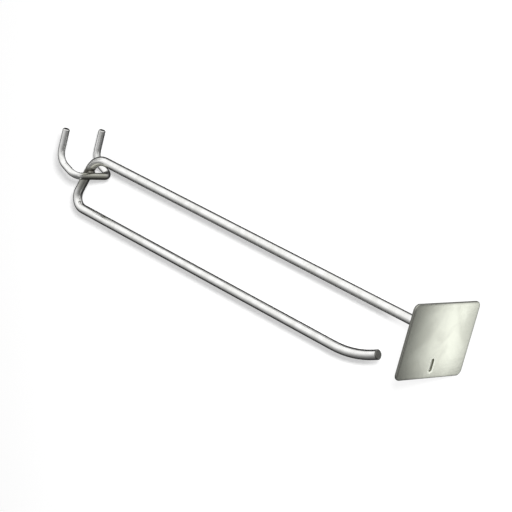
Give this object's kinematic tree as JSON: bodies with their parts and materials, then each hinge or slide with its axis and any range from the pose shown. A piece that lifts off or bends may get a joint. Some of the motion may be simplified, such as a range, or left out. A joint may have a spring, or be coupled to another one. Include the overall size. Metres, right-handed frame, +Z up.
{
  "type": "pegboard hook",
  "caption": "Double-wire pegboard display hook: upright pegs behind a welded crossbar, a long product arm with an upturned tip, and a label arm with a flat plate in front.",
  "frame": {"origin": "midway between the axes of the two upright pegs, in the plane where their straight length starts above the bends", "axes": "+Z up along the pegs; -Y out from the board along the arms, towards the shopper; +X to the right as the shopper faces the board"},
  "size_m": [0.047, 0.2652, 0.0475],
  "materials": {
    "plated_wire": "bright zinc plate over drawn steel wire",
    "plated_sheet": "bright zinc plate over punched steel sheet, slightly cloudy"
  },
  "bodies": {
    "root": {"arm_wire": "plated_wire", "peg_wire": "plated_wire", "label_plate": "plated_sheet"}
  },
  "joints": []
}
